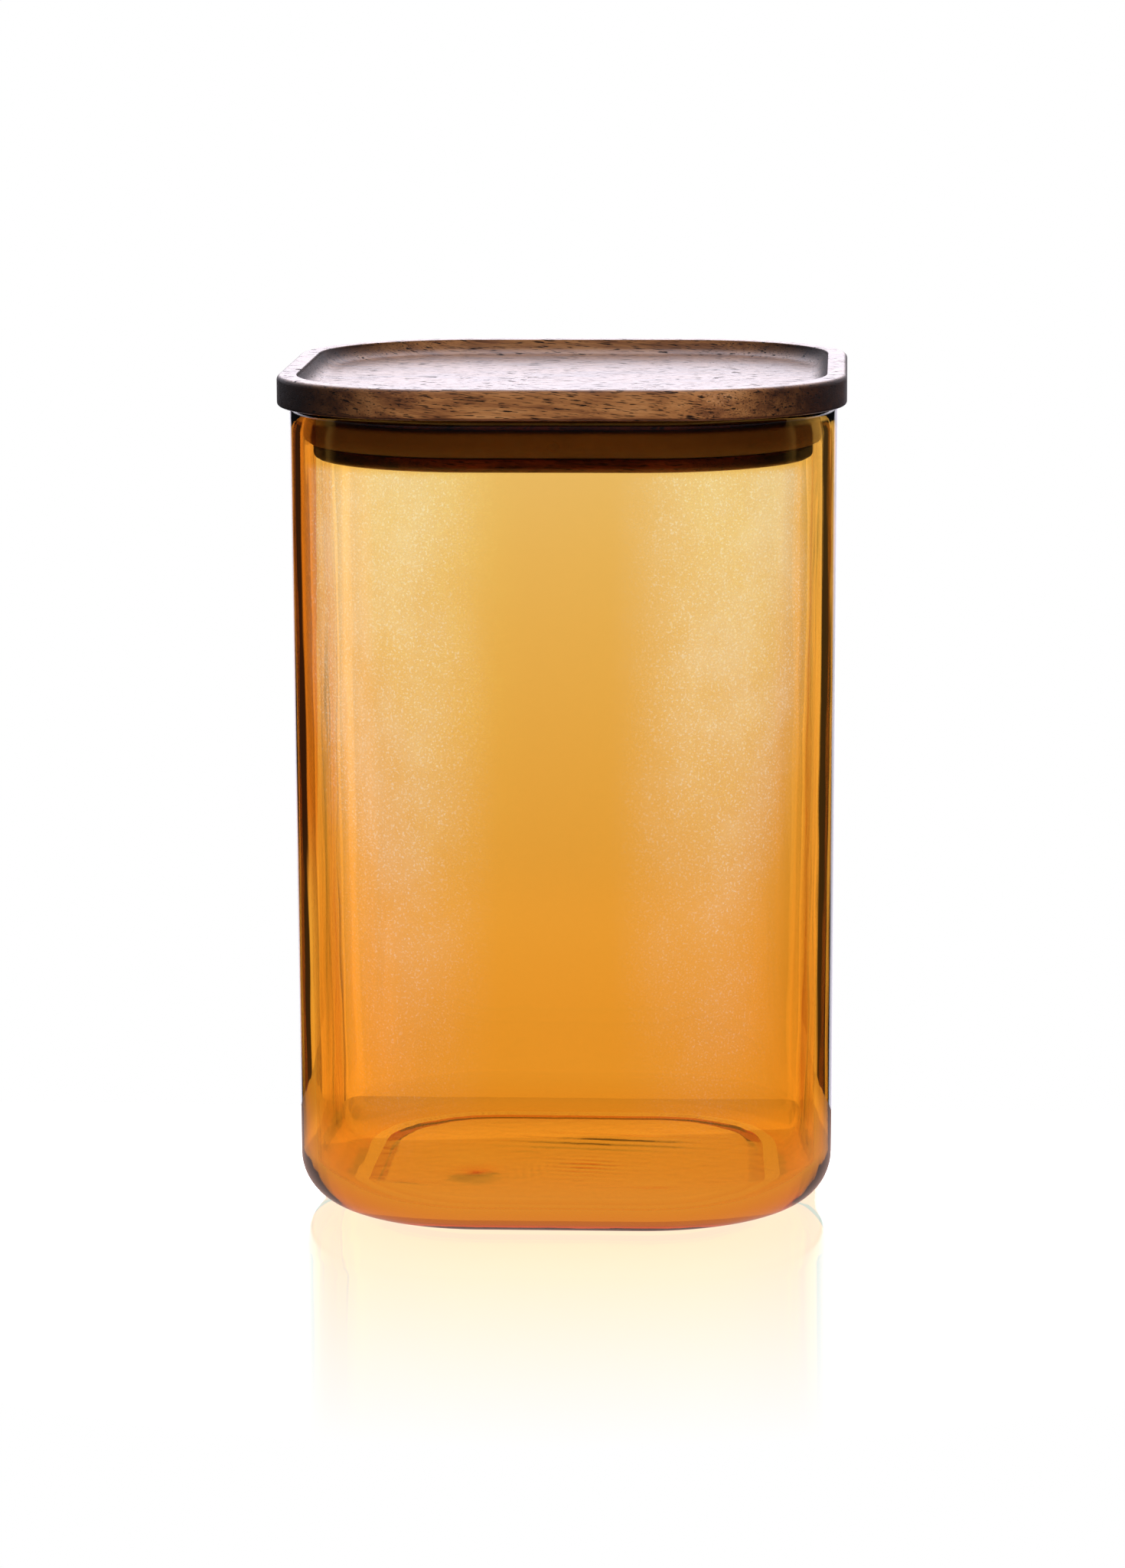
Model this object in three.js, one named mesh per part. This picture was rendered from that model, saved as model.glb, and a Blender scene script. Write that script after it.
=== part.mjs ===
// A square storage jar of amber glass, with a wooden lid and a silicone seal.
// Millimetres, +Z up. The origin is the middle of the foot, and the front is -Y.
//
// Every part is square with round corners, so each is one profile carried round a rounded square.
// A profile point is [half the width across the flat sides, height].

import * as THREE from 'three';

// Glass
const jarHeight = 150.2;
const jarWidth = 101; // outside, at the rim
const jarTaper = 0.5; // how far each side draws in, from the rim to the foot
const jarCornerRadius = 35.5; // outside, at the rim, seen from above
const wallThickness = 2.4;
const baseThickness = 4.8;
const heelRadius = 9; // outside, where the wall turns under
const innerHeelRadius = 7.5;
const standWidth = 3.2; // flat ring that the jar stands on
const pushUpSlope = 3; // from the flat ring in to the raised middle
const pushUpHeight = 0.7;

// Lid board
const boardOverhang = 1.8; // past the glass on each side
const boardThickness = 5.6;
const boardCornerRadius = 32;
const boardTopEdge = 0.9; // radius of the edges
const boardBottomEdge = 0.6;
const trayRimWidth = 3.6; // flat rim round the dished top, with the edge radius
const trayDepth = 2.8;
const trayCoveRadius = 4;

// Plug under the board
const neckHeight = 2.4;
const grooveHeight = 5;
const grooveDepth = 2.6;
const flangeHeight = 2.5;
const flangeBottomEdge = 1.2;
const flangeTopEdge = 0.5;

// Seal in the plug's groove
const lipHeight = 2; // tall band at the top of the seal that bears on the glass
const lipTopEdge = 0.5;

// Clearances
const lidSeatGap = 0.3; // board to glass rim
const plugClearance = 2; // plug to glass wall
const lipClearance = 0.3; // seal to glass wall
const grooveClearance = 0.2; // seal to groove

// Facets
const cornerSteps = 10;
const bigArcSteps = 7;
const smallArcSteps = 3;

// Shared sizes that follow from the ones above
const rimHalf = jarWidth / 2;
const jarCornerCentre = rimHalf - jarCornerRadius;
const mouthHalf = rimHalf - wallThickness;
const boardHalf = rimHalf + boardOverhang;
const plugHalf = mouthHalf - plugClearance;
const grooveHalf = plugHalf - grooveDepth;
const grooveTop = -neckHeight; // lid heights are measured from the board's underside
const grooveBottom = grooveTop - grooveHeight;
const plugBottom = grooveBottom - flangeHeight;

const amberGlass = new THREE.MeshStandardMaterial({
  color: 0xdc8a2e, roughness: 0.08, metalness: 0, transparent: true, opacity: 0.45,
});
const acaciaWood = new THREE.MeshStandardMaterial({ color: 0x7a4c28, roughness: 0.42, metalness: 0 });
const milkySilicone = new THREE.MeshStandardMaterial({ color: 0xb9a68c, roughness: 0.5, metalness: 0 });

function arc(centreHalf, centreHeight, radius, fromDegrees, toDegrees, steps) {
  return ellipticArc(centreHalf, centreHeight, radius, radius, fromDegrees, toDegrees, steps);
}

function ellipticArc(centreHalf, centreHeight, across, up, fromDegrees, toDegrees, steps) {
  const points = [];
  for (let step = 0; step <= steps; step += 1) {
    const degrees = fromDegrees + (toDegrees - fromDegrees) * step / steps;
    const angle = THREE.MathUtils.degToRad(degrees);
    points.push([centreHalf + across * Math.cos(angle), centreHeight + up * Math.sin(angle)]);
  }
  return points;
}

// Carries a profile round a square whose corners are arcs about (±cornerCentre, ±cornerCentre).
// A lathe gives the faces, and each of its columns is then moved onto the rounded square.
function carryRound(profile, cornerCentre) {
  const points = profile.map(([half, height]) => new THREE.Vector2(half, height));
  const columnsPerCorner = cornerSteps + 1;
  const geometry = new THREE.LatheGeometry(points, 4 * columnsPerCorner);
  const position = geometry.getAttribute('position');
  for (let index = 0; index < position.count; index += 1) {
    const column = Math.floor(index / points.length);
    const { x: half, y: height } = points[index % points.length];
    const corner = Math.floor(column / columnsPerCorner) % 4;
    const turn = (corner + (column % columnsPerCorner) / cornerSteps) * Math.PI / 2;
    const diagonal = (corner + 0.5) * Math.PI / 2;
    const centre = Math.min(half, cornerCentre);
    const radius = half - centre;
    position.setXYZ(
      index,
      Math.sign(Math.cos(diagonal)) * centre + radius * Math.cos(turn),
      Math.sign(Math.sin(diagonal)) * centre + radius * Math.sin(turn),
      height,
    );
  }
  geometry.computeVertexNormals();
  return geometry;
}

function makePart(name, profile, cornerCentre, material) {
  const mesh = new THREE.Mesh(carryRound(profile, cornerCentre), material);
  mesh.name = name;
  return mesh;
}

// Starts under the middle of the foot, goes out and up the wall, over the rim and down inside.
function glassProfile() {
  const footHalf = rimHalf - jarTaper;
  const innerFootHalf = footHalf - wallThickness;
  const standOuter = footHalf - heelRadius;
  const standInner = standOuter - standWidth;
  const rimRadius = wallThickness / 2;
  return [
    [0, pushUpHeight],
    [standInner - pushUpSlope, pushUpHeight],
    [standInner, 0],
    ...arc(standOuter, heelRadius, heelRadius, -90, 0, bigArcSteps),
    ...arc(rimHalf - rimRadius, jarHeight - rimRadius, rimRadius, 0, 180, bigArcSteps),
    ...arc(
      innerFootHalf - innerHeelRadius, baseThickness + innerHeelRadius, innerHeelRadius, 0, -90, bigArcSteps,
    ),
    [0, baseThickness],
  ];
}

function boardProfile() {
  const trayFloor = boardThickness - trayDepth;
  const trayEdge = boardHalf - trayRimWidth;
  const coveTurn = Math.acos(1 - trayDepth / trayCoveRadius);
  const coveCentre = trayEdge - trayCoveRadius * Math.sin(coveTurn);
  const coveDegrees = THREE.MathUtils.radToDeg(coveTurn) - 90;
  return [
    [0, 0],
    ...arc(boardHalf - boardBottomEdge, boardBottomEdge, boardBottomEdge, -90, 0, smallArcSteps),
    ...arc(boardHalf - boardTopEdge, boardThickness - boardTopEdge, boardTopEdge, 0, 90, smallArcSteps),
    ...arc(coveCentre, trayFloor + trayCoveRadius, trayCoveRadius, coveDegrees, -90, bigArcSteps),
    [0, trayFloor],
  ];
}

function plugProfile() {
  return [
    [0, plugBottom],
    ...arc(
      plugHalf - flangeBottomEdge, plugBottom + flangeBottomEdge, flangeBottomEdge, -90, 0, smallArcSteps,
    ),
    ...arc(plugHalf - flangeTopEdge, grooveBottom - flangeTopEdge, flangeTopEdge, 0, 90, smallArcSteps),
    [grooveHalf, grooveBottom],
    [grooveHalf, grooveTop],
    [plugHalf, grooveTop],
    [plugHalf, 0],
    [0, 0],
  ];
}

// The seal fills the groove, and swells outward above it into a lip that bears on the glass.
function sealProfile() {
  const sealInner = grooveHalf + grooveClearance;
  const sealTop = grooveTop - grooveClearance;
  const sealBottom = grooveBottom + grooveClearance;
  const shoulder = sealTop - lipHeight;
  const lipHalf = mouthHalfAt(shoulder) - lipClearance;
  const start = [sealInner, sealBottom];
  return [
    start,
    ...ellipticArc(plugHalf, shoulder, lipHalf - plugHalf, shoulder - sealBottom, -90, 0, bigArcSteps),
    ...arc(lipHalf - lipTopEdge, sealTop - lipTopEdge, lipTopEdge, 0, 90, smallArcSteps),
    [sealInner, sealTop],
    start,
  ];
}

// Inside half-width of the glass at a height measured from the board's underside.
function mouthHalfAt(lidHeight) {
  const height = jarHeight + lidSeatGap + lidHeight;
  return mouthHalf - jarTaper * (jarHeight - height) / jarHeight;
}

const glassJar = makePart('glass_jar', glassProfile(), jarCornerCentre, amberGlass);
const lidBoard = makePart('lid_board', boardProfile(), boardHalf - boardCornerRadius, acaciaWood);
const lidPlug = makePart('lid_plug', plugProfile(), jarCornerCentre, acaciaWood);
const sealRing = makePart('seal_ring', sealProfile(), jarCornerCentre, milkySilicone);

const lid = new THREE.Group();
lid.position.z = jarHeight + lidSeatGap;
lid.add(lidBoard, lidPlug, sealRing);

const group = new THREE.Group();
group.add(glassJar, lid);

export default group;
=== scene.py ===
# Amber glass storage jar with a dished wooden lid and a silicone seal, on a glossy white table.
import math

import bmesh
import bpy
from mathutils import Matrix, Vector, noise


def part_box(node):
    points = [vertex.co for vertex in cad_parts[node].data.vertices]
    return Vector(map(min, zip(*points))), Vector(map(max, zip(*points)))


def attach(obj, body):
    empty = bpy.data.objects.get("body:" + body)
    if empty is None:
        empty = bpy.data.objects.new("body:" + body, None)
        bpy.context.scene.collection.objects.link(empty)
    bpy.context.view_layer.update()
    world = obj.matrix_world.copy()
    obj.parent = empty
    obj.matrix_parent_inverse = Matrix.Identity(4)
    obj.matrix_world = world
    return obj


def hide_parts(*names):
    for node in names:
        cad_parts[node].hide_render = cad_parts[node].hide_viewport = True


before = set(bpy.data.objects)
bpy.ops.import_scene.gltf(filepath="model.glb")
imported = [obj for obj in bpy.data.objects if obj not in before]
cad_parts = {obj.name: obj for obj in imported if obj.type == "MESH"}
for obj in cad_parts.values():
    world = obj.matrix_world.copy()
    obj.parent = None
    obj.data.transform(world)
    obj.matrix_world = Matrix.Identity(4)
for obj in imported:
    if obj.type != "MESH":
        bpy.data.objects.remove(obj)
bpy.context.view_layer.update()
scene = bpy.context.scene
mm = 0.001
jarLow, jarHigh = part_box("glass_jar")
boardLow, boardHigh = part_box("lid_board")
plugLow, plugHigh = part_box("lid_plug")
sealLow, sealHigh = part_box("seal_ring")


# the camera stands a metre from the middle of the closed jar
cameraSetup = {
    "azimuth": 3.1,  # degrees to the right of the front
    "elevation": 9.88,
    "roll": -0.236,
    "distance": 1.0,
    "lens": 121.08,
    "target": (-0.00123, 0, 0.07613),
}


def addCamera(setup):
    turn = math.radians(setup["azimuth"])
    lift = math.radians(setup["elevation"])
    back = Vector((math.sin(turn) * math.cos(lift), -math.cos(turn) * math.cos(lift), math.sin(lift)))
    data = bpy.data.cameras.new("camera")
    data.lens = setup["lens"]
    data.sensor_width = 36
    data.clip_start = 0.05
    camera = bpy.data.objects.new("camera", data)
    scene.collection.objects.link(camera)
    aim = back.to_track_quat("Z", "Y").to_matrix().to_4x4()
    roll = Matrix.Rotation(math.radians(setup["roll"]), 4, "Z")
    camera.matrix_world = Matrix.Translation(Vector(setup["target"]) + back * setup["distance"]) @ aim @ roll
    scene.camera = camera


addCamera(cameraSetup)
scene.view_settings.view_transform = "Standard"
print("camera placed")


# short ways to add nodes: an input is a number, a colour or another node's socket
def put(tree, kind, inputs=None, **settings):
    made = tree.nodes.new(kind)
    for name, value in settings.items():
        setattr(made, name, value)
    for key, value in (inputs or {}).items():
        if isinstance(value, bpy.types.NodeSocket):
            tree.links.new(value, made.inputs[key])
        else:
            made.inputs[key].default_value = value
    return made


def sums(tree, operation, *values, clamp=False):
    inputs = dict(enumerate(values))
    return put(tree, "ShaderNodeMath", inputs, operation=operation, use_clamp=clamp).outputs[0]


def vectorSums(tree, operation, *values):
    return put(tree, "ShaderNodeVectorMath", dict(enumerate(values)), operation=operation).outputs[0]


def remap(tree, value, fromLow, fromHigh, toLow=0.0, toHigh=1.0):
    made = put(tree, "ShaderNodeMapRange", {
        "Value": value, "From Min": fromLow, "From Max": fromHigh, "To Min": toLow, "To Max": toHigh,
    })
    made.interpolation_type = "SMOOTHSTEP"
    return made.outputs[0]


def mixColour(tree, factor, first, second, blend="MIX"):
    made = put(tree, "ShaderNodeMix", data_type="RGBA", blend_type=blend)
    for index, value in ((0, factor), (6, first), (7, second)):
        if isinstance(value, bpy.types.NodeSocket):
            tree.links.new(value, made.inputs[index])
        else:
            made.inputs[index].default_value = value
    return made.outputs[2]


def noiseAt(tree, place, stretch, detail=2.0, rough=0.5, distortion=0.0):
    scaled = vectorSums(tree, "MULTIPLY", place, stretch)
    made = put(tree, "ShaderNodeTexNoise", {
        "Vector": scaled, "Scale": 1.0, "Detail": detail, "Roughness": rough, "Distortion": distortion,
    })
    return made.outputs["Fac"]


def newGroup(name, inputs, outputs):
    tree = bpy.data.node_groups.new(name, "ShaderNodeTree")
    for label, kind, start in inputs:
        socket = tree.interface.new_socket(name=label, in_out="INPUT", socket_type=kind)
        if start is not None:
            socket.default_value = start
    for label, kind in outputs:
        tree.interface.new_socket(name=label, in_out="OUTPUT", socket_type=kind)
    return tree, tree.nodes.new("NodeGroupInput").outputs, tree.nodes.new("NodeGroupOutput").inputs


def newMaterial(name):
    material = bpy.data.materials.new(name)
    material.use_nodes = True
    tree = material.node_tree
    tree.nodes.clear()
    output = tree.nodes.new("ShaderNodeOutputMaterial")
    shader = tree.nodes.new("ShaderNodeBsdfPrincipled")
    tree.links.new(shader.outputs[0], output.inputs["Surface"])
    where = put(tree, "ShaderNodeTexCoord").outputs["Object"]
    place = vectorSums(tree, "MULTIPLY", where, (1000, 1000, 1000))  # millimetres
    return material, tree, shader, output, place


def useGroup(tree, group, inputs):
    made = put(tree, "ShaderNodeGroup")
    made.node_tree = group
    for key, value in inputs.items():
        if isinstance(value, bpy.types.NodeSocket):
            tree.links.new(value, made.inputs[key])
        else:
            made.inputs[key].default_value = value
    return made.outputs


# shapes are profiles in mm, swept round a square with round corners
def arcPoints(half, height, across, up, start, end, steps):
    turns = [math.radians(start + (end - start) * step / steps) for step in range(steps + 1)]
    return [(half + across * math.cos(turn), height + up * math.sin(turn)) for turn in turns]


def linePoints(first, last, steps):
    # the points between two ends, without the ends
    return [
        (first[0] + (last[0] - first[0]) * step / steps, first[1] + (last[1] - first[1]) * step / steps)
        for step in range(1, steps)
    ]


def newParts(made, kind):
    return [part for part in made["geom"] if isinstance(part, kind)]


def slideProfile(bm, edges, offset, steps):
    for _ in range(steps):
        made = bmesh.ops.extrude_edge_only(bm, edges=edges)
        verts = newParts(made, bmesh.types.BMVert)
        bmesh.ops.translate(bm, verts=verts, vec=Vector(offset) / steps)
        fresh = set(verts)
        edges = [edge for edge in newParts(made, bmesh.types.BMEdge) if set(edge.verts) <= fresh]
    return edges


def sweepRoundSquare(points, corner, closed=False, cornerSteps=32, flatSteps=6):
    # points are (half-width, height) in mm; corner is how far each corner's centre is from the middle
    bm = bmesh.new()
    verts = [bm.verts.new((half * mm, 0, height * mm)) for half, height in points]
    pairs = list(zip(verts, verts[1:]))
    if closed:
        pairs.append((verts[-1], verts[0]))
    edges = [bm.edges.new(pair) for pair in pairs]
    centre = corner * mm
    edges = slideProfile(bm, edges, (0, centre, 0), flatSteps)
    ends = list({vert for edge in edges for vert in edge.verts})
    made = bmesh.ops.spin(
        bm, geom=ends + edges, cent=(centre, centre, 0), axis=(0, 0, 1), angle=math.pi / 2, steps=cornerSteps,
    )
    last = [part for part in made["geom_last"] if isinstance(part, bmesh.types.BMEdge)]
    slideProfile(bm, last, (-centre, 0, 0), flatSteps)
    bmesh.ops.spin(
        bm, geom=bm.verts[:] + bm.edges[:] + bm.faces[:], cent=(0, 0, 0), axis=(0, 0, 1),
        angle=1.5 * math.pi, steps=3, use_duplicate=True,
    )
    bmesh.ops.remove_doubles(bm, verts=bm.verts, dist=1e-6)
    return bm


def capHoles(bm, rings):
    # fills each open end with rings that close in on the middle
    made = bmesh.ops.holes_fill(bm, edges=[edge for edge in bm.edges if edge.is_boundary], sides=0)
    for cap in made["faces"]:
        for ring in range(rings, 1, -1):
            bmesh.ops.inset_region(bm, faces=[cap], thickness=0)
            shrink = (ring - 1) / ring
            bmesh.ops.scale(bm, vec=(shrink, shrink, 1), verts=cap.verts)


def addPiece(name, bm, material, body, node):
    bmesh.ops.recalc_face_normals(bm, faces=bm.faces)
    mesh = bpy.data.meshes.new(name)
    for face in bm.faces:
        face.smooth = True
    bm.to_mesh(mesh)
    bm.free()
    mesh.materials.append(material)
    piece = bpy.data.objects.new(name, mesh)
    scene.collection.objects.link(piece)
    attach(piece, body)
    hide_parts(node)
    print(name, "made with", len(mesh.polygons), "faces")
    return piece


# effects that several materials share
def makeSpeckleGroup():
    # dust and fine grit: 0 on a clean surface, 1 on a grain
    tree, given, result = newGroup(
        "dustSpeckle",
        [
            ("Place", "NodeSocketVector", None), ("Grain", "NodeSocketFloat", 1.0),
            ("Amount", "NodeSocketFloat", 0.5),
        ],
        [("Mask", "NodeSocketFloat"), ("Clouds", "NodeSocketFloat")],
    )
    scaled = put(
        tree, "ShaderNodeVectorMath", {0: given["Place"], 3: given["Grain"]}, operation="SCALE",
    ).outputs[0]
    fine = noiseAt(tree, scaled, (2.6, 2.6, 2.6), 2, 0.6)
    coarse = noiseAt(tree, scaled, (0.07, 0.07, 0.06), 8, 0.68)
    limit = sums(tree, "SUBTRACT", 0.74, sums(tree, "MULTIPLY", given["Amount"], 0.2))
    grains = put(tree, "ShaderNodeMapRange", {
        "Value": fine, "From Min": limit, "From Max": sums(tree, "ADD", limit, 0.12),
    }).outputs[0]
    tree.links.new(grains, result["Mask"])
    tree.links.new(remap(tree, coarse, 0.36, 0.66), result["Clouds"])
    return tree


def makeWoodGroup():
    # the fibres run along X, so pores are dashes along the grain and dots on the end grain
    tree, given, result = newGroup(
        "acaciaFigure",
        [("Place", "NodeSocketVector", None), ("Pores", "NodeSocketFloat", 1.0)],
        [("Colour", "NodeSocketColor"), ("Pore", "NodeSocketFloat"), ("Height", "NodeSocketFloat")],
    )
    split = put(tree, "ShaderNodeSeparateXYZ", {0: given["Place"]}).outputs
    drift = noiseAt(tree, given["Place"], (0.03, 0.08, 0.08), 2, 0.5)
    # the fibres slant a little and drift sideways
    across = sums(tree, "MULTIPLY_ADD", split["X"], 0.03, split["Y"])
    across = sums(tree, "MULTIPLY_ADD", drift, 5.0, across)
    down = sums(tree, "MULTIPLY_ADD", split["X"], 0.09, split["Z"])
    down = sums(tree, "MULTIPLY_ADD", drift, 3.0, down)
    place = put(tree, "ShaderNodeCombineXYZ", {0: split["X"], 1: across, 2: down}).outputs[0]
    # growth rings round a heart far below the board
    ringY = sums(tree, "ADD", across, 27.0)
    ringZ = sums(tree, "ADD", down, -96.0)
    squares = sums(tree, "ADD", sums(tree, "MULTIPLY", ringY, ringY), sums(tree, "MULTIPLY", ringZ, ringZ))
    ring = sums(tree, "MULTIPLY_ADD", drift, 20.0, sums(tree, "SQRT", squares))
    bands = sums(tree, "SINE", sums(tree, "MULTIPLY", ring, 0.82))
    curl = sums(tree, "MULTIPLY_ADD", drift, 14.0, sums(tree, "MULTIPLY", split["X"], 0.55))
    curl = sums(tree, "SINE", curl)
    streaks = noiseAt(tree, place, (0.05, 0.9, 0.9), 5, 0.62)
    patches = noiseAt(tree, place, (0.03, 0.07, 0.12), 2, 0.5, 0.8)
    fibres = noiseAt(tree, place, (0.3, 6.5, 6.5), 3, 0.62)
    tone = sums(tree, "MULTIPLY_ADD", bands, 0.05, sums(tree, "MULTIPLY", curl, 0.03))
    tone = sums(tree, "MULTIPLY_ADD", streaks, 0.6, tone)
    tone = sums(tree, "MULTIPLY_ADD", patches, 0.5, tone)
    tone = sums(tree, "MULTIPLY_ADD", fibres, 0.3, tone)
    ramp = put(tree, "ShaderNodeValToRGB", {0: tone})
    stops = ramp.color_ramp.elements
    stops[0].position, stops[0].color = 0.48, (0.06, 0.02, 0.009, 1)
    stops[1].position, stops[1].color = 0.94, (0.42, 0.2, 0.075, 1)
    stops.new(0.63).color = (0.17, 0.063, 0.021, 1)
    stops.new(0.75).color = (0.3, 0.125, 0.04, 1)
    dashes = remap(tree, noiseAt(tree, place, (0.36, 5.2, 5.2), 1, 0.4), 0.6, 0.68)
    longDashes = remap(tree, noiseAt(tree, place, (0.28, 1.1, 3.4), 2, 0.5), 0.61, 0.68)
    pore = sums(tree, "MULTIPLY_ADD", dashes, 0.6, longDashes)
    pore = sums(tree, "MULTIPLY", pore, given["Pores"], clamp=True)
    colour = mixColour(tree, sums(tree, "MULTIPLY", pore, 0.85), ramp.outputs[0], (0.016, 0.007, 0.004, 1))
    tree.links.new(colour, result["Colour"])
    tree.links.new(pore, result["Pore"])
    height = sums(tree, "SUBTRACT", sums(tree, "MULTIPLY", fibres, 0.25), pore)
    tree.links.new(height, result["Height"])
    return tree


speckleGroup = makeSpeckleGroup()
woodGroup = makeWoodGroup()


# glass jar, in mm
glassSizes = {
    "wall": 2.25,  # at the rim
    "wallGain": 0.9,  # how much thicker at the foot
    "wallCurve": 1.6,
    "base": 3.0,
    "taper": 0.5,
    "cornerRadius": 35.5,
    "heel": 9.0,
    "innerHeel": 7.4,
    "innerHeelUp": 7.0,
    "standWidth": 3.2,  # the flat ring that the jar stands on
    "pushUp": 0.7,
    "pushUpSlope": 3.0,
    "waviness": 0.02,
    "wavyTop": 4.0,  # the rim stays true this far down
    "floorRings": 60,  # fine enough for the ripples in the floor
}
glassLook = {
    "absorbColour": (0.9676, 0.72, 0.05, 1),
    "absorbDensity": 450.0,
    "ior": 1.5,
    "topTint": (1, 1, 1, 1),
    "midTint": (0.993, 0.946, 0.84, 1),
    "lowTint": (0.965, 0.8, 0.48, 1),
    # painted light: the glow colour of the dusty haze
    "paintedHazeGlow": (0.07, 0.2, 0.25, 1),
    # painted shade: the colour and edge of the streak in the front left corner
    "streakShadeTint": (0.72, 0.36, 0.1, 1),
    "streakShadeEdge": 44.8,  # mm left of the middle, at the foot
    "waves": 0.03,
}


def makeGlassMaterial(look):
    material, tree, shader, output, place = newMaterial("amberGlass")
    split = put(tree, "ShaderNodeSeparateXYZ", {0: place}).outputs
    outside = put(tree, "ShaderNodeAttribute", attribute_name="outerFace").outputs["Fac"]
    sideways = sums(tree, "ABSOLUTE", split["X"])
    # the haze of dust lies on both sides of the middle and narrows towards the foot; its light is painted on
    # as a faint glow
    lower = remap(tree, split["Z"], 112, 55)
    outerEnd = sums(tree, "MULTIPLY_ADD", lower, -4.0, 47.0)
    outerStart = sums(tree, "MULTIPLY_ADD", lower, -12.0, 41.0)
    zone = sums(tree, "MULTIPLY", remap(tree, sideways, 9, 29), remap(tree, sideways, outerEnd, outerStart))
    zone = sums(tree, "MULTIPLY", zone, remap(tree, split["Z"], 5, 110))
    zone = sums(tree, "MULTIPLY", zone, remap(tree, split["Z"], 141.5, 139.5))
    dust = useGroup(tree, speckleGroup, {"Place": place, "Grain": 1.0, "Amount": 0.9})
    clouds = sums(tree, "MULTIPLY_ADD", dust["Clouds"], 0.5, 0.55)
    grit = sums(tree, "MULTIPLY_ADD", dust["Mask"], 1.6, 0.6)
    hazeAndGlow = sums(tree, "MULTIPLY", sums(tree, "MULTIPLY", zone, clouds), sums(tree, "MULTIPLY", grit, outside))
    # painted light: the dusty outer face glows faintly blue instead of scattering the lamps' light
    glow = mixColour(tree, hazeAndGlow, (0, 0, 0, 1), look["paintedHazeGlow"])
    tree.links.new(glow, shader.inputs["Emission Color"])
    shader.inputs["Emission Strength"].default_value = 1.0
    # the colour is deeper towards the foot
    ramp = put(tree, "ShaderNodeValToRGB", {0: sums(tree, "DIVIDE", split["Z"], 150.0)})
    stops = ramp.color_ramp.elements
    stops[0].position, stops[0].color = 0.1, look["lowTint"]
    stops[1].position, stops[1].color = 0.92, look["topTint"]
    stops.new(0.75).color = look["midTint"]
    # painted shade: a streak of deeper colour in the front left corner, where the corner refracts a darker
    # view
    edge = sums(tree, "MULTIPLY_ADD", split["Z"], -0.012, noiseAt(tree, place, (0.05, 0.05, 0.05), 2))
    edge = sums(tree, "MULTIPLY_ADD", edge, 0.8, look["streakShadeEdge"])
    edge = sums(tree, "SUBTRACT", sums(tree, "MULTIPLY", split["X"], -1.0), edge)
    paintedStreakShade = sums(tree, "MULTIPLY", remap(tree, edge, -0.1, 0.1), remap(tree, split["Y"], -19, -24))
    paintedStreakShade = sums(tree, "MULTIPLY", paintedStreakShade, sums(tree, "MULTIPLY", remap(tree, split["Z"], 52, 80), outside))
    colour = mixColour(tree, paintedStreakShade, ramp.outputs[0], look["streakShadeTint"])
    tree.links.new(colour, shader.inputs["Base Color"])
    shader.inputs["Roughness"].default_value = 0.0
    shader.inputs["IOR"].default_value = look["ior"]
    shader.inputs["Transmission Weight"].default_value = 1.0
    swell = noiseAt(tree, place, (0.12, 0.12, 0.02), 2, 0.5)
    bump = put(tree, "ShaderNodeBump", {"Height": swell, "Strength": look["waves"], "Distance": 0.002})
    tree.links.new(bump.outputs[0], shader.inputs["Normal"])
    absorb = put(tree, "ShaderNodeVolumeAbsorption", {
        "Color": look["absorbColour"], "Density": look["absorbDensity"],
    })
    tree.links.new(absorb.outputs[0], output.inputs["Volume"])
    return material


def hillAt(across, along, middle, reach):
    # a smooth hill of height 1 around a point
    return math.exp(-((across - middle[0]) / reach[0]) ** 2 - ((along - middle[1]) / reach[1]) ** 2)


def floorWave(across, along):
    # the marks that the plunger left on the inner floor, in mm
    back = 0.045 * math.sin(1.5 * (along + 0.12 * across)) * hillAt(across, along, (6, 15), (17, 5))
    hill = 0.3 * hillAt(across, along, (-18, -6), (4.4, 7))
    ripples = 0.1 * math.sin(4.2 * across + 0.25 * along) * hillAt(across, along, (-8, -7), (4.5, 5))
    faint = 0.03 * math.sin(2.1 * along + 0.3 * across) * hillAt(across, along, (3, -6), (7, 8))
    dents = 0.1 * hillAt(across, along, (17, -20), (4, 3)) - 0.12 * hillAt(across, along, (-31, -22), (5, 4))
    return back + hill + ripples + faint + dents


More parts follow.
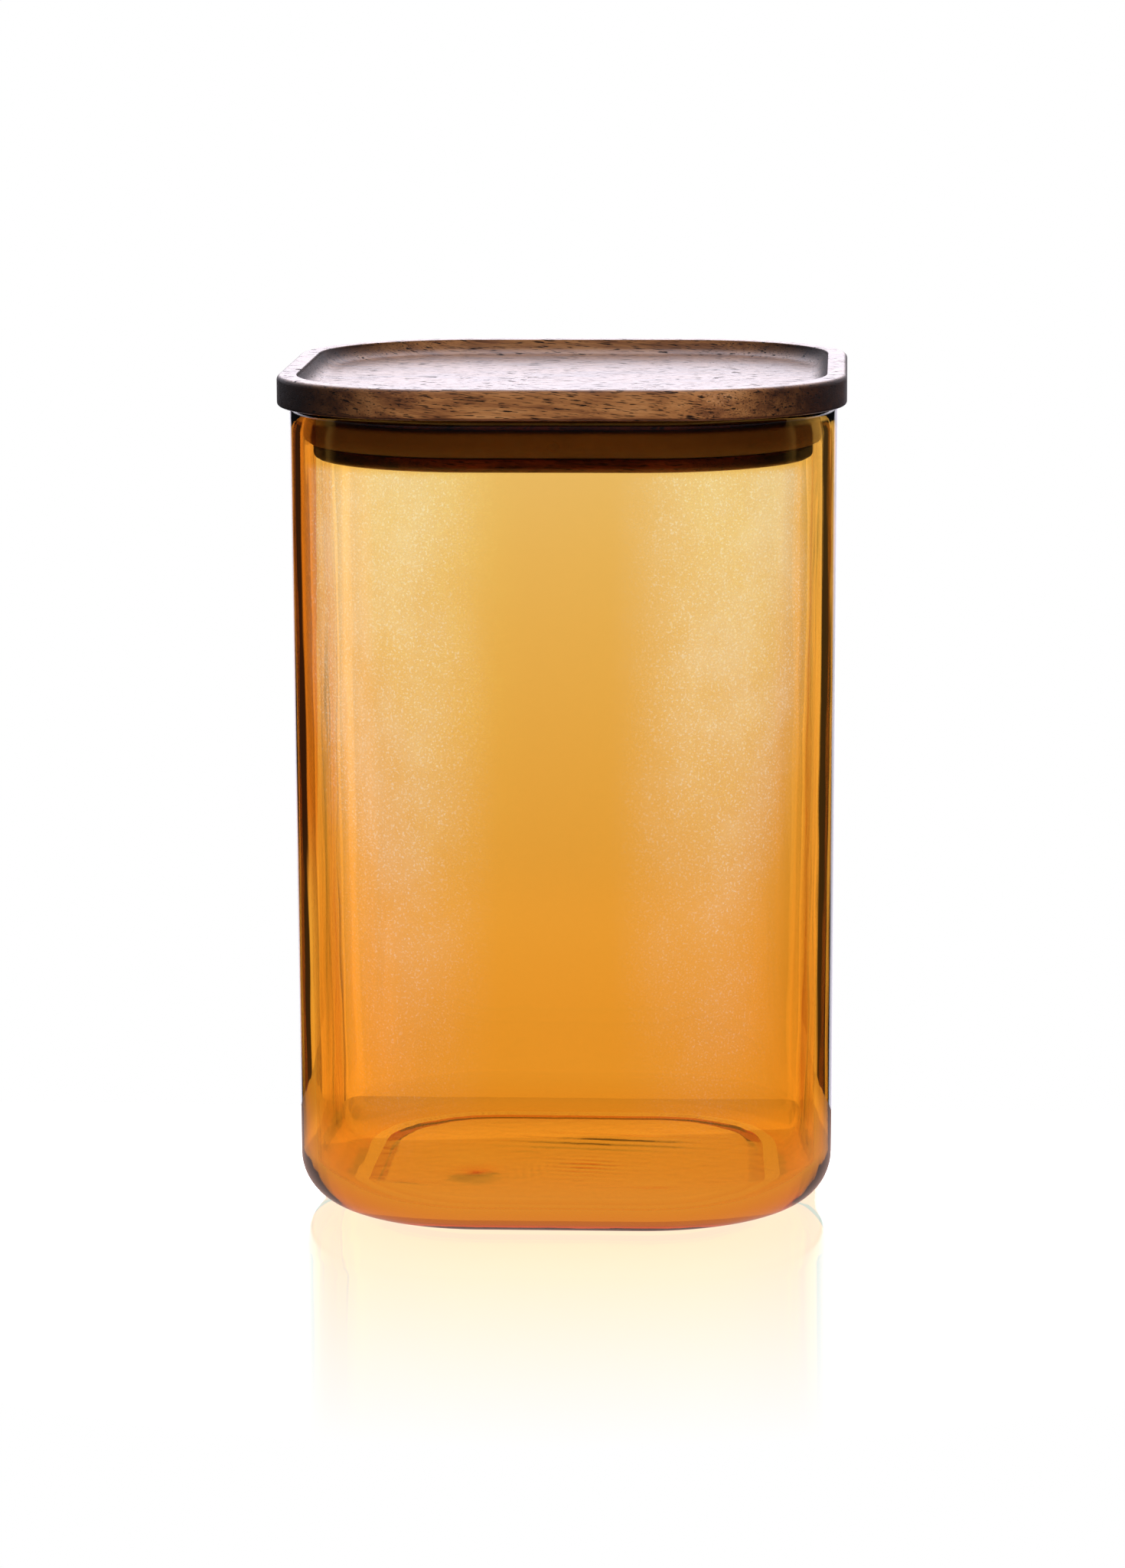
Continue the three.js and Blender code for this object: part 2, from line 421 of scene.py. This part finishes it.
def buildGlassJar(sizes):
    top = jarHigh.z / mm
    rim = jarHigh.x / mm
    foot = rim - sizes["taper"]
    corner = rim - sizes["cornerRadius"]
    standOuter = foot - sizes["heel"]
    standInner = standOuter - sizes["standWidth"]
    bead = sizes["wall"] / 2

    def innerHalf(height):
        gain = sizes["wallGain"] * max(0, 1 - height / top) ** sizes["wallCurve"]
        return foot + (rim - foot) * height / top - sizes["wall"] - gain

    bottom = sizes["base"] + sizes["innerHeelUp"]
    innerFoot = innerHalf(bottom)
    outside = arcPoints(standOuter, sizes["heel"], sizes["heel"], sizes["heel"], -90, 0, 14)
    rimArc = arcPoints(rim - bead, top - bead, bead, bead, 0, 180, 12)
    inside = arcPoints(
        innerFoot - sizes["innerHeel"], bottom, sizes["innerHeel"], sizes["innerHeelUp"], 0, -90, 28,
    )
    innerWall = [(innerHalf(height), height) for _, height in linePoints(rimArc[-1], inside[0], 44)]
    points = [
        (standInner - sizes["pushUpSlope"], sizes["pushUp"]), (standInner, 0),
        *outside, *linePoints(outside[-1], rimArc[0], 44), *rimArc, *innerWall, *inside,
    ]
    bm = sweepRoundSquare(points, corner)
    capHoles(bm, sizes["floorRings"])
    bm.normal_update()
    outer = bm.verts.layers.float.new("outerFace")
    for vert in bm.verts:
        place = vert.co / mm
        reach = Vector((max(abs(place.x) - corner, 0), max(abs(place.y) - corner, 0))).length
        vert[outer] = 1.0 if reach > rim - corner - sizes["wall"] / 2 - sizes["taper"] else 0.0
        onFloor = reach < innerFoot - corner - 2 and sizes["base"] - 0.5 < place.z < sizes["base"] + 3
        if onFloor:
            vert.co.z += floorWave(place.x, place.y) * mm
        if sizes["heel"] < place.z < top - sizes["wavyTop"]:
            wave = noise.noise(Vector((place.x * 0.05, place.y * 0.05, place.z * 0.016)))
            vert.co += vert.normal * wave * sizes["waviness"] * mm
    return bm


glassMaterial = makeGlassMaterial(glassLook)
addPiece("amberJar", buildGlassJar(glassSizes), glassMaterial, "jar", "glass_jar")


# lid board, in mm
boardSizes = {
    "cornerRadius": 32.0, "topEdge": 0.9, "bottomEdge": 0.6, "rim": 3.6, "trayDepth": 2.8, "cove": 4.0,
    "trayEdge": 0.35,
}
woodLook = {"roughness": 0.45, "coat": 0.9, "coatRoughness": 0.22, "pores": 1.0, "tint": (1, 1, 1, 1)}


def markEndGrainAndShade(bm):
    # how squarely each part of the surface faces along the fibres, which also marks the sides that turn away
    # from the light
    bm.normal_update()
    layer = bm.verts.layers.float.new("endGrainAndShade")
    for vert in bm.verts:
        vert[layer] = abs(vert.normal.x)


def makeWoodMaterial(name, offset, look, pits=()):
    material, tree, shader, _, place = newMaterial(name)
    ends = put(tree, "ShaderNodeAttribute", attribute_name="endGrainAndShade").outputs["Fac"]
    ends = remap(tree, ends, 0.12, 0.85)
    moved = vectorSums(tree, "ADD", place, offset)
    figure = useGroup(tree, woodGroup, {"Place": moved, "Pores": look["pores"]})
    dust = useGroup(tree, speckleGroup, {"Place": moved, "Grain": 0.8, "Amount": 0.2})
    pore = figure["Pore"]
    for pit in pits:
        gap = put(tree, "ShaderNodeVectorMath", {0: place, 1: pit}, operation="DISTANCE").outputs["Value"]
        pore = sums(tree, "MAXIMUM", pore, remap(tree, gap, 0.9, 0.5))
    dusty = sums(tree, "MULTIPLY", dust["Mask"], 0.25)
    colour = mixColour(tree, dusty, figure["Colour"], (0.3, 0.2, 0.13, 1))
    colour = mixColour(tree, 1.0, colour, look["tint"], "MULTIPLY")
    colour = mixColour(tree, pore, colour, (0.012, 0.006, 0.004, 1))
    # end grain is darker, and on top of that painted shade: the ends and sideways-facing corners are darkened
    # far past real end grain, as sides turned from the light
    endShadeColour = mixColour(tree, 1.0, colour, (0.08, 0.055, 0.05, 1), "MULTIPLY")
    colour = mixColour(tree, ends, colour, endShadeColour)
    height = put(tree, "ShaderNodeSeparateXYZ", {0: place}).outputs["Z"]
    # painted shade: the underside of the board and the plug are darkened, as shade falls under the board
    shaded = mixColour(tree, 1.0, colour, (0.3, 0.2, 0.2, 1), "MULTIPLY")
    colour = mixColour(tree, remap(tree, height, 151.2, 150.8), colour, shaded)
    tree.links.new(colour, shader.inputs["Base Color"])
    roughness = sums(tree, "MULTIPLY_ADD", sums(tree, "MAXIMUM", pore, ends), 0.35, look["roughness"])
    tree.links.new(roughness, shader.inputs["Roughness"])
    coat = sums(tree, "MULTIPLY", sums(tree, "SUBTRACT", 1.0, pore), look["coat"])
    coat = sums(tree, "MULTIPLY", coat, sums(tree, "MULTIPLY_ADD", ends, -0.9, 1.0))
    tree.links.new(coat, shader.inputs["Coat Weight"])
    shader.inputs["Coat Roughness"].default_value = look["coatRoughness"]
    bump = put(tree, "ShaderNodeBump", {"Height": figure["Height"], "Strength": 0.6, "Distance": 0.00008})
    tree.links.new(bump.outputs[0], shader.inputs["Normal"])
    return material


def buildBoard(sizes):
    half = boardHigh.x / mm
    bottom, top = boardLow.z / mm, boardHigh.z / mm
    tray = top - sizes["trayDepth"]
    edge = half - sizes["rim"]
    low, high, cove = sizes["bottomEdge"], sizes["topEdge"], sizes["cove"]
    turn = math.acos(1 - sizes["trayDepth"] / cove)
    coveHalf = edge - cove * math.sin(turn)
    points = [
        *arcPoints(half - low, bottom + low, low, low, -90, 0, 6),
        *arcPoints(half - high, top - high, high, high, 0, 90, 8),
        *arcPoints(edge + 0.1, top - sizes["trayEdge"], 0.25, sizes["trayEdge"], 90, 160, 4),
        *arcPoints(coveHalf, tray + cove, cove, cove, math.degrees(turn) - 96, -90, 14),
    ]
    bm = sweepRoundSquare(points, half - sizes["cornerRadius"])
    capHoles(bm, 6)
    markEndGrainAndShade(bm)
    return bm


pits = [(-49.0, -14.0, 156.1), (-45.5, -25.5, 156.1)]  # two dark pits in the rim
boardMaterial = makeWoodMaterial("boardWood", (13.0, 4.0, 0.0), woodLook, pits)
addPiece("woodBoard", buildBoard(boardSizes), boardMaterial, "lid", "lid_board")


# plug under the board, in mm
plugSizes = {
    "cornerRadius": 31.1, "neck": 2.4, "groove": 5.0, "grooveDepth": 2.6, "flangeBottom": 1.2,
    "flangeTop": 0.5,
}


def buildPlug(sizes):
    half = plugHigh.x / mm
    bottom, top = plugLow.z / mm, plugHigh.z / mm
    grooveTop = top - sizes["neck"]
    grooveLow = grooveTop - sizes["groove"]
    inner = half - sizes["grooveDepth"]
    low, high = sizes["flangeBottom"], sizes["flangeTop"]
    points = [
        *arcPoints(half - low, bottom + low, low, low, -90, 0, 8),
        *arcPoints(half - high, grooveLow - high, high, high, 0, 90, 5),
        *arcPoints(inner + 0.3, grooveLow + 0.3, 0.3, 0.3, 270, 180, 3),
        *arcPoints(inner + 0.3, grooveTop - 0.3, 0.3, 0.3, 180, 90, 3),
        *arcPoints(half - 0.4, grooveTop + 0.4, 0.4, 0.4, -90, 0, 4),
        (half, top),
    ]
    bm = sweepRoundSquare(points, half - sizes["cornerRadius"])
    capHoles(bm, 4)
    markEndGrainAndShade(bm)
    return bm


# painted light: the plug's wood is made brighter and redder to stand in for light reaching it through the
# amber glass
plugPaintedLightLook = {**woodLook, "pores": 0.5, "tint": (2.6, 1.9, 1.4, 1)}
plugMaterial = makeWoodMaterial("plugWood", (-31.0, 17.0, 8.0), plugPaintedLightLook)
addPiece("woodPlug", buildPlug(plugSizes), plugMaterial, "lid", "lid_plug")


# seal ring, in mm
sealSizes = {"cornerRadius": 31.1, "lip": 2.0, "lipEdge": 0.5, "press": 0.24}


def makeSiliconeMaterial():
    material, tree, shader, _, place = newMaterial("milkySilicone")
    dust = useGroup(tree, speckleGroup, {"Place": place, "Grain": 0.7, "Amount": 0.4})
    colour = mixColour(tree, dust["Clouds"], (0.32, 0.25, 0.21, 1), (0.38, 0.3, 0.26, 1))
    tree.links.new(colour, shader.inputs["Base Color"])
    tree.links.new(sums(tree, "MULTIPLY_ADD", dust["Mask"], 0.2, 0.6), shader.inputs["Roughness"])
    shader.inputs["Subsurface Weight"].default_value = 0.4
    shader.inputs["Subsurface Radius"].default_value = (0.004, 0.003, 0.002)
    # a faint round moulding mark at the front
    gate = put(tree, "ShaderNodeVectorMath", {0: place, 1: (0.0, -47.8, 145.5)}, operation="DISTANCE")
    gate = gate.outputs["Value"]
    ring = sums(tree, "MULTIPLY", remap(tree, gate, 0.5, 0.8), remap(tree, gate, 1.2, 0.9))
    height = sums(tree, "MULTIPLY_ADD", noiseAt(tree, place, (0.8, 0.8, 0.8), 3), 0.2, ring)
    bump = put(tree, "ShaderNodeBump", {"Height": height, "Strength": 0.5, "Distance": 0.0002})
    tree.links.new(bump.outputs[0], shader.inputs["Normal"])
    return material


def buildSeal(sizes):
    outer = sealHigh.x / mm + sizes["press"]
    inner = plugHigh.x / mm - plugSizes["grooveDepth"] + 0.05
    bottom, top = sealLow.z / mm, sealHigh.z / mm
    plugHalf = plugHigh.x / mm
    shoulder = top - sizes["lip"]
    lipEdge = sizes["lipEdge"]
    points = [
        (inner, bottom), *linePoints((inner, bottom), (plugHalf - 0.6, bottom), 4),
        *arcPoints(plugHalf - 0.3, shoulder, outer - plugHalf + 0.3, shoulder - bottom, -90, 0, 12),
        *arcPoints(outer - lipEdge, top - lipEdge, lipEdge, lipEdge, 0, 90, 5),
        *linePoints((outer - lipEdge, top), (inner, top), 4), (inner, top),
    ]
    return sweepRoundSquare(points, plugHalf - sizes["cornerRadius"], closed=True)


addPiece("siliconeSeal", buildSeal(sealSizes), makeSiliconeMaterial(), "lid", "seal_ring")


# table, in metres, and the studio light
tableSizes = {"front": 0.9, "back": 0.055, "side": 0.6, "thick": 0.006}
studio = {
    "tableFar": (1, 1, 1, 1),
    "tableShadowNear": (0.57, 0.67, 0.58, 1),  # painted shadow: the table is dimmer and tinted close by the jar
    "mirrorNear": 0.82,  # how strongly it mirrors there
    "fadeStart": 0.05,  # metres from the jar
    "fadeEnd": 0.178,
    "keyPower": 12.5,  # watts
    "panel": 1.01,  # bright walls seen through the glass
    "panelSides": 1.3,
    "around": 0.6,
    "diagonalPanel": 1.15,
    "flag": 0.05,  # dark gaps between them
    "skyBack": 1.9,  # what polished surfaces mirror
    "skyRound": 0.14,
    "insideTint": (5.4, 2.4, 0.1, 1),  # light that reaches the pieces inside the jar
    "skyTint": (1.03, 0.98, 1.1, 1),
    "softBack": 0.35,  # light on matt surfaces
    "softFront": 0.1,
    "softTop": 0.35,
    "softRound": 0.02,
    "tableThrough": 0.84,  # the table seen through the glass
    "tableBounce": 0.3,  # its light on matt surfaces
    "tableMirrored": 0.03,  # the table mirrored in the glass, far off
    "nearMirrored": 0.55,  # and close by
    "mirrorReach": 0.13,  # metres
    "mirrorTint": (1, 0.66, 0.58, 1),
    "lineAt": 0.023,  # metres behind the middle, where a paler band begins
    "lineBright": 1.15,
}


def buildTable(sizes):
    bm = bmesh.new()
    bmesh.ops.create_cube(bm, size=1)
    front, back, thick = sizes["front"], sizes["back"], sizes["thick"]
    bmesh.ops.scale(bm, vec=(sizes["side"] * 2, front + back, thick), verts=bm.verts)
    bmesh.ops.translate(bm, vec=(0, (back - front) / 2, -thick / 2), verts=bm.verts)
    mesh = bpy.data.meshes.new("tableTop")
    bm.to_mesh(mesh)
    bm.free()
    table = bpy.data.objects.new("tableTop", mesh)
    scene.collection.objects.link(table)
    return table


def makeTableMaterial(look):
    material = bpy.data.materials.new("whiteTable")
    material.use_nodes = True
    tree = material.node_tree
    tree.nodes.clear()
    output = tree.nodes.new("ShaderNodeOutputMaterial")
    place = put(tree, "ShaderNodeTexCoord").outputs["Object"]
    away = put(tree, "ShaderNodeVectorMath", {0: place}, operation="LENGTH").outputs["Value"]
    fade = put(tree, "ShaderNodeMapRange", {
        "Value": away, "From Min": look["fadeEnd"], "From Max": look["fadeStart"],
    }).outputs[0]
    ray = put(tree, "ShaderNodeLightPath").outputs
    seen = ray["Is Camera Ray"]
    scattered = sums(tree, "GREATER_THAN", ray["Diffuse Depth"], 0.5)
    across = put(tree, "ShaderNodeSeparateXYZ", {0: place}).outputs
    line = sums(tree, "MULTIPLY_ADD", across["X"], -0.12, across["Y"])
    start = look["lineAt"]
    under = remap(tree, line, start - 0.0012, start + 0.0004, look["tableThrough"], look["lineBright"])
    behind = remap(tree, line, start, start + 0.02)
    under = sums(tree, "MULTIPLY_ADD", behind, look["tableThrough"] - look["lineBright"], under)
    mirrored = remap(tree, away, look["mirrorReach"], 0.06, look["tableMirrored"], look["nearMirrored"])
    # no light from the far table bounces back off the glass
    shiny = sums(tree, "GREATER_THAN", ray["Glossy Depth"], 0.5)
    bounced = sums(tree, "MULTIPLY", shiny, remap(tree, away, 0.15, 0.25))
    under = sums(tree, "MULTIPLY", under, sums(tree, "SUBTRACT", 1.0, bounced))
    other = sums(tree, "MULTIPLY", ray["Is Transmission Ray"], under)
    other = sums(tree, "MULTIPLY_ADD", ray["Is Reflection Ray"], mirrored, other)
    other = put(tree, "ShaderNodeMix", {0: scattered, 2: other, 3: look["tableBounce"]}).outputs[0]
    # painted shadow: the table darkens and takes a tint towards the jar
    shadowedWhite = mixColour(tree, fade, look["tableFar"], look["tableShadowNear"])
    tinted = mixColour(tree, ray["Is Reflection Ray"], (1, 1, 1, 1), look["mirrorTint"])
    grey = put(tree, "ShaderNodeCombineColor", {0: other, 1: other, 2: other}).outputs[0]
    grey = mixColour(tree, 1.0, grey, tinted, "MULTIPLY")
    glow = mixColour(tree, seen, grey, shadowedWhite)
    shine = sums(tree, "MULTIPLY", sums(tree, "MULTIPLY", fade, look["mirrorNear"]), seen)
    tint = put(tree, "ShaderNodeCombineColor", {0: shine, 1: shine, 2: shine}).outputs[0]
    mirror = put(tree, "ShaderNodeBsdfGlossy", {"Color": tint, "Roughness": 0.03})
    light = put(tree, "ShaderNodeEmission", {"Color": glow})
    both = put(tree, "ShaderNodeAddShader", {0: mirror.outputs[0], 1: light.outputs[0]})
    tree.links.new(both.outputs[0], output.inputs["Surface"])
    return material


buildTable(tableSizes).data.materials.append(makeTableMaterial(studio))


def cosine(degrees):
    return math.cos(math.radians(degrees))


def buildWorld(look):
    world = bpy.data.worlds.new("studio")
    scene.world = world
    world.use_nodes = True
    tree = world.node_tree
    tree.nodes.clear()
    output = tree.nodes.new("ShaderNodeOutputWorld")
    way = put(tree, "ShaderNodeTexCoord").outputs["Generated"]
    split = put(tree, "ShaderNodeSeparateXYZ", {0: way}).outputs
    flat = put(tree, "ShaderNodeCombineXYZ", {0: split["X"], 1: split["Y"]}).outputs[0]
    flat = put(tree, "ShaderNodeVectorMath", {0: flat}, operation="NORMALIZE").outputs[0]
    turned = put(tree, "ShaderNodeSeparateXYZ", {0: flat}).outputs
    along = sums(tree, "ABSOLUTE", turned["Y"])
    side = sums(tree, "ABSOLUTE", turned["X"])
    facing = sums(tree, "MAXIMUM", along, side)
    # seen through the glass: bright walls on the four sides and the diagonals, with dark gaps between
    panels = remap(tree, facing, cosine(21), cosine(17))
    posts = sums(tree, "MULTIPLY", remap(tree, facing, cosine(36), cosine(40)), look["diagonalPanel"])
    slots = sums(tree, "ADD", panels, posts)
    steep = sums(tree, "ABSOLUTE", split["Z"])
    level = sums(tree, "MULTIPLY", remap(tree, steep, 0.06, 0.12), remap(tree, steep, 0.3, 0.24))
    around = remap(tree, level, 0, 1, look["around"], look["flag"])
    through = put(tree, "ShaderNodeMix", {0: slots, 2: around, 3: look["panel"]}).outputs[0]
    brighter = remap(tree, facing, cosine(4), cosine(13), 1.0, look["panelSides"])
    through = sums(tree, "MULTIPLY", through, brighter)
    # mirrored by polished surfaces: bright at the back, dim all round
    north = remap(tree, turned["Y"], 0.2, 0.95)
    high = sums(tree, "MULTIPLY_ADD", north, look["skyBack"] - look["skyRound"], look["skyRound"])
    low = sums(tree, "MULTIPLY_ADD", remap(tree, turned["Y"], cosine(21), cosine(17)), look["panel"], 0.01)
    above = remap(tree, split["Z"], -0.03, 0.06)
    mirrored = put(tree, "ShaderNodeMix", {0: above, 2: low, 3: high}).outputs[0]
    # on matt surfaces: soft light from the back, the front and above
    south = remap(tree, sums(tree, "MULTIPLY", turned["Y"], -1.0), 0.7, 0.95)
    soft = sums(tree, "MULTIPLY_ADD", south, look["softFront"], look["softRound"])
    soft = sums(tree, "MULTIPLY_ADD", north, look["softBack"], soft)
    soft = sums(tree, "ADD", soft, remap(tree, split["Z"], 0.5, 1.0, 0.0, look["softTop"]))
    ray = put(tree, "ShaderNodeLightPath").outputs
    diffuse = sums(tree, "GREATER_THAN", ray["Diffuse Depth"], 0.5)
    # what has bounced off the glass finds no light in front
    shiny = sums(tree, "GREATER_THAN", ray["Glossy Depth"], 0.5)
    bounced = sums(tree, "MULTIPLY", shiny, remap(tree, turned["Y"], 0.5, 0.1))
    through = sums(tree, "MULTIPLY", through, sums(tree, "SUBTRACT", 1.0, bounced))
    value = put(tree, "ShaderNodeMix", {0: ray["Is Reflection Ray"], 2: through, 3: mirrored}).outputs[0]
    value = put(tree, "ShaderNodeMix", {0: diffuse, 2: value, 3: soft}).outputs[0]
    value = put(tree, "ShaderNodeMix", {0: ray["Is Camera Ray"], 2: value, 3: 1.0}).outputs[0]
    cool = mixColour(tree, ray["Is Reflection Ray"], (1, 1, 1, 1), look["skyTint"])
    inside = sums(tree, "MULTIPLY", diffuse, sums(tree, "GREATER_THAN", ray["Transmission Depth"], 1.5))
    cool = mixColour(tree, inside, cool, look["insideTint"])
    light = put(tree, "ShaderNodeBackground", {"Color": cool, "Strength": value})
    tree.links.new(light.outputs[0], output.inputs["Surface"])


def addSoftbox(name, azimuth, elevation, distance, size, power):
    turn, lift = math.radians(azimuth), math.radians(elevation)
    back = Vector((math.sin(turn) * math.cos(lift), -math.cos(turn) * math.cos(lift), math.sin(lift)))
    data = bpy.data.lights.new(name, "AREA")
    data.shape = "RECTANGLE"
    data.size, data.size_y = size
    data.energy = power
    lamp = bpy.data.objects.new(name, data)
    aim = back.to_track_quat("Z", "Y").to_matrix().to_4x4()
    lamp.matrix_world = Matrix.Translation(Vector((0, 0, 0.1)) + back * distance) @ aim
    lamp.visible_transmission = False  # it lights the wood, but isn't seen in the glass
    lamp.visible_glossy = False
    scene.collection.objects.link(lamp)


buildWorld(studio)
addSoftbox("keySoftbox", 33, 10, 1.1, (0.4, 0.4), studio["keyPower"])
print("studio lit")
